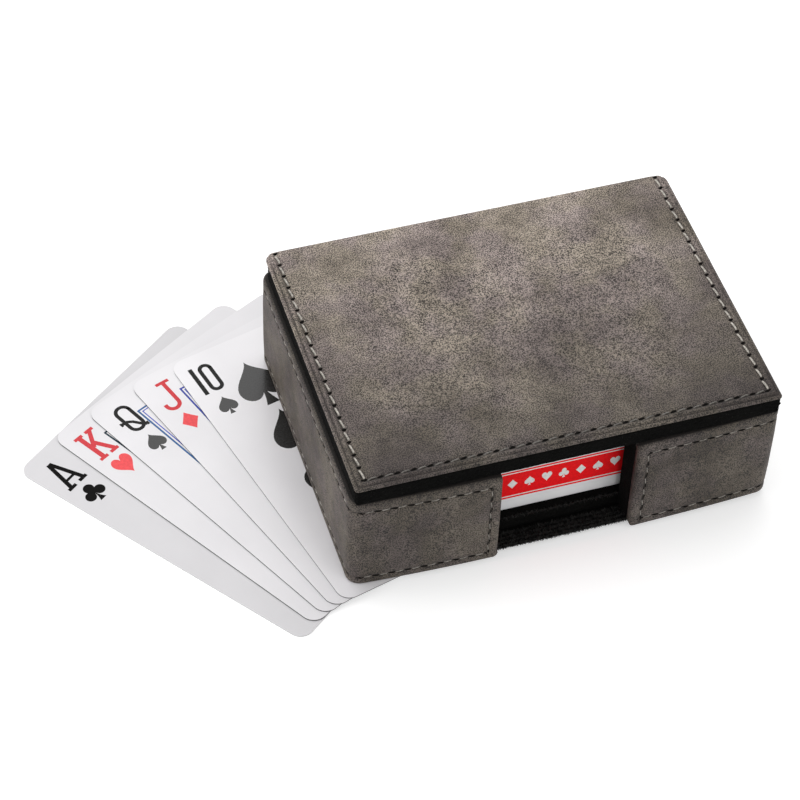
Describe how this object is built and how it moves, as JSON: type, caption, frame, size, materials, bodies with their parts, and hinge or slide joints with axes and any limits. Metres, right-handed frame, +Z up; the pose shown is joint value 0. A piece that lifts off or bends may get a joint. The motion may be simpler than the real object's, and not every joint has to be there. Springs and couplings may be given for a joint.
{
  "type": "playing card case with deck",
  "caption": "Leatherette playing card case with a hinged lid and a thumb notch, a boxed deck inside and a fan of cards under its front corner.",
  "frame": {"origin": "on the table, under the middle of the box round the whole set", "axes": "+X to the right along the case's front, +Y from the notch to the hinge, +Z up"},
  "size_m": [0.1756, 0.1096, 0.0376],
  "materials": {
    "leatherette": "matte",
    "black_felt": "matte",
    "black_sheet": "matte",
    "board": "matte",
    "greyboard": "matte",
    "carton_stock": "satin",
    "card_stock": "satin"
  },
  "bodies": {
    "case": {"underside_sheet": "black_sheet", "floor_board": "board", "floor_felt": "black_felt", "sill_felt": "black_felt", "left_board": "board", "right_board": "board", "back_board": "board", "front_left_board": "board", "front_right_board": "board", "left_felt": "black_felt", "right_felt": "black_felt", "back_felt": "black_felt", "front_left_felt": "black_felt", "front_right_felt": "black_felt", "left_cover": "leatherette", "right_cover": "leatherette", "back_cover": "leatherette", "hinge_fold": "leatherette"},
    "lid": {"lid_felt": "black_felt", "lid_liner_board": "board", "lid_board": "greyboard", "lid_cover": "leatherette"},
    "pack": {"carton": "carton_stock", "pack_cards": "card_stock"},
    "ace": {"ace_of_clubs": "card_stock"},
    "king": {"king_of_hearts": "card_stock"},
    "queen": {"queen_of_spades": "card_stock"},
    "jack": {"jack_of_diamonds": "card_stock"},
    "ten": {"ten_of_spades": "card_stock"}
  },
  "joints": [
    {"name": "lid_hinge", "type": "hinge", "parent": "case", "child": "lid", "pos_m": [0.0335, 0.03466, 0.0317], "axis": [-1, 0, 0], "range_deg": [0, 180], "deforming": ["hinge_fold"]},
    {"name": "pack_lift", "type": "slide", "parent": "case", "child": "pack", "axis": [0, 0, 1], "range_m": [0, 0.006]},
    {"name": "ace_swing", "type": "hinge", "parent": "case", "child": "ace", "pos_m": [-0.0175, -0.03869, 0.0008], "axis": [0, 0, 1], "range_deg": [-20, 20]},
    {"name": "king_swing", "type": "hinge", "parent": "case", "child": "king", "pos_m": [-0.0175, -0.03869, 0.0008], "axis": [0, 0, 1], "range_deg": [-20, 20]},
    {"name": "queen_swing", "type": "hinge", "parent": "case", "child": "queen", "pos_m": [-0.0175, -0.03869, 0.0008], "axis": [0, 0, 1], "range_deg": [-20, 20]},
    {"name": "jack_swing", "type": "hinge", "parent": "case", "child": "jack", "pos_m": [-0.0175, -0.03869, 0.0008], "axis": [0, 0, 1], "range_deg": [-20, 20]},
    {"name": "ten_swing", "type": "hinge", "parent": "case", "child": "ten", "pos_m": [-0.0175, -0.03869, 0.0008], "axis": [0, 0, 1], "range_deg": [-20, 20]}
  ]
}
